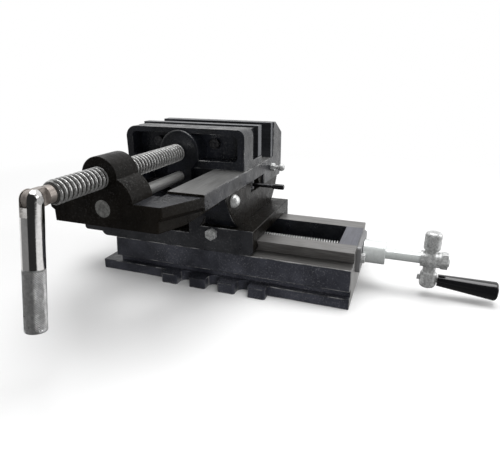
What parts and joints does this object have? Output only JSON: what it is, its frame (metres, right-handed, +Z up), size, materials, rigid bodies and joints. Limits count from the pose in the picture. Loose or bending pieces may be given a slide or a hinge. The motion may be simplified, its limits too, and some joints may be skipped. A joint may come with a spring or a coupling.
{
  "type": "compound cross-slide drill-press vise",
  "caption": "Machine vise with a screw-driven jaw on two crossed dovetail slides, each moved by a lead screw with a crank, on a slotted cast foot for a drill-press table.",
  "frame": {"origin": "middle of the underside of the base foot, on the rib across the sole", "axes": "+X along the long slide, towards its crank; +Y along the jaws' travel, from the movable jaw to the fixed jaw; +Z up"},
  "size_m": [0.3951, 0.4125, 0.147],
  "materials": {
    "cast_black": "gloss black enamel over cast iron",
    "machined_steel": "machined, lightly oiled",
    "jaw_steel": "ground and blackened",
    "nut_bronze": "as cast bronze",
    "zinc_plate": "bright zinc plate",
    "chrome_plate": "nickel chrome plate",
    "dark_screws": "black oxide",
    "black_plastic": "gloss"
  },
  "bodies": {
    "base": {"base_casting": "cast_black", "x_end_plate": "machined_steel", "x_end_plate_bolts": "zinc_plate"},
    "x_screw": {"x_lead_screw": "machined_steel", "x_collar": "zinc_plate", "x_crank_lever": "zinc_plate", "x_crank_nut": "zinc_plate", "x_handle_bolt": "zinc_plate"},
    "x_grip": {"x_handle_grip": "black_plastic"},
    "saddle": {"saddle_casting": "cast_black", "saddle_front_bolt": "dark_screws", "x_gib": "machined_steel", "x_gib_screws": "dark_screws", "x_gib_nuts": "dark_screws", "x_drive_nut": "nut_bronze", "x_drive_nut_screws": "dark_screws", "y_end_plate": "machined_steel", "y_end_plate_bolts": "zinc_plate"},
    "y_screw": {"y_lead_screw": "machined_steel", "y_collar": "zinc_plate", "y_crank_lever": "zinc_plate", "y_crank_nut": "zinc_plate", "y_handle_bolt": "zinc_plate"},
    "y_grip": {"y_handle_grip": "black_plastic"},
    "vise": {"vise_body": "cast_black", "fixed_jaw_plate": "jaw_steel", "fixed_jaw_screws": "dark_screws", "guide_rod": "machined_steel", "y_gib": "machined_steel", "y_gib_screws": "dark_screws", "y_gib_nuts": "dark_screws", "y_drive_nut": "nut_bronze", "y_drive_nut_screws": "dark_screws", "side_stud": "dark_screws", "side_stud_nut": "dark_screws", "side_cap_bolt": "dark_screws"},
    "lock": {"lock_lever": "dark_screws", "lock_lever_tip": "black_plastic"},
    "jaw": {"movable_jaw": "cast_black", "movable_jaw_plate": "jaw_steel", "movable_jaw_screws": "dark_screws", "jaw_keeper_plates": "machined_steel", "jaw_keeper_screws": "dark_screws"},
    "screw": {"main_screw": "chrome_plate", "screw_retainer": "machined_steel"},
    "handle": {"handle_bar": "chrome_plate", "handle_pin": "chrome_plate"}
  },
  "joints": [
    {"name": "x_screw_turn", "type": "hinge", "parent": "base", "child": "x_screw", "pos_m": [0.1274, 0, 0.0352], "axis": [1, 0, 0], "range_deg": [-12060, 4690]},
    {"name": "saddle_slide", "type": "slide", "parent": "base", "child": "saddle", "axis": [1, 0, 0], "range_m": [-0.033, 0.085]},
    {"name": "x_grip_spin", "type": "hinge", "parent": "x_screw", "child": "x_grip", "pos_m": [0.1904, 0, 0.0162], "axis": [0.9982, 0, -0.0593], "continuous": true},
    {"name": "y_screw_turn", "type": "hinge", "parent": "saddle", "child": "y_screw", "pos_m": [-0.04, 0.06, 0.062], "axis": [0, 1, 0], "range_deg": [-4970, 4970]},
    {"name": "body_slide", "type": "slide", "parent": "saddle", "child": "vise", "axis": [0, 1, 0], "range_m": [-0.035, 0.035]},
    {"name": "y_grip_spin", "type": "hinge", "parent": "y_screw", "child": "y_grip", "pos_m": [-0.04, 0.123, 0.043], "axis": [0, 0.9982, -0.0593], "continuous": true},
    {"name": "lock_lever_turn", "type": "hinge", "parent": "vise", "child": "lock", "pos_m": [0.014, -0.001, 0.09], "axis": [0, 0, 1], "range_deg": [-35, 35]},
    {"name": "jaw_slide", "type": "slide", "parent": "vise", "child": "jaw", "axis": [0, 1, 0], "range_m": [-0.075, 0.03]},
    {"name": "main_screw_turn", "type": "hinge", "parent": "jaw", "child": "screw", "pos_m": [-0.04, -0.041, 0.125], "axis": [0, 1, 0], "range_deg": [-6760, 2710]},
    {"name": "handle_fold", "type": "hinge", "parent": "screw", "child": "handle", "pos_m": [-0.04, -0.212, 0.125], "axis": [-1, 0, 0], "range_deg": [-9, 170]}
  ],
  "couplings": [
    {"joint": "x_screw_turn", "follows": "saddle_slide", "rad_per_m": -2473.7},
    {"joint": "y_screw_turn", "follows": "body_slide", "rad_per_m": -2473.7},
    {"joint": "main_screw_turn", "follows": "jaw_slide", "rad_per_m": 1570.8}
  ]
}
